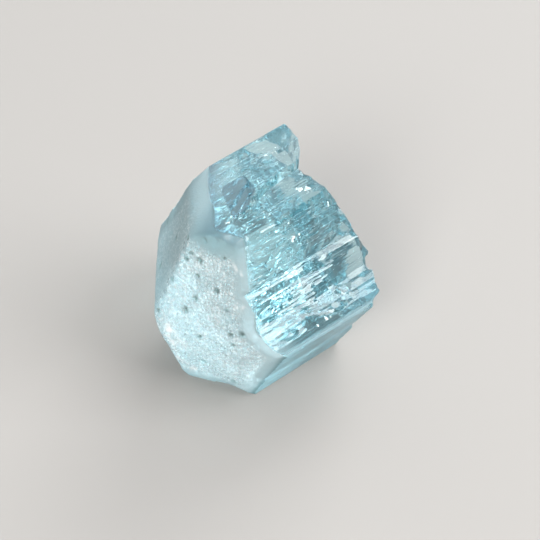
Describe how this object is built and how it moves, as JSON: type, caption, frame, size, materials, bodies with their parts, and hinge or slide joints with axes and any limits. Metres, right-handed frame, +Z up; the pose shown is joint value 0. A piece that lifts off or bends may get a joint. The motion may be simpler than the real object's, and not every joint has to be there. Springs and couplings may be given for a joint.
{
  "type": "aquamarine crystal",
  "caption": "Short thick six-sided aquamarine crystal lying on a side face, with a frosted natural end, a clear fluted body and a broken glassy end.",
  "frame": {"origin": "middle of the crystal's footprint box, on the surface it lies on", "axes": "+X along the growth axis towards the broken end, -X to the frosted end, -Y to the side with the flute, +Z up"},
  "size_m": [0.021, 0.023, 0.0191],
  "materials": {
    "aquamarine": "clear pale blue-green stone, glassy on the sides and the break, frosted on the natural end"
  },
  "bodies": {
    "root": {"aquamarine_crystal": "aquamarine"}
  },
  "joints": []
}
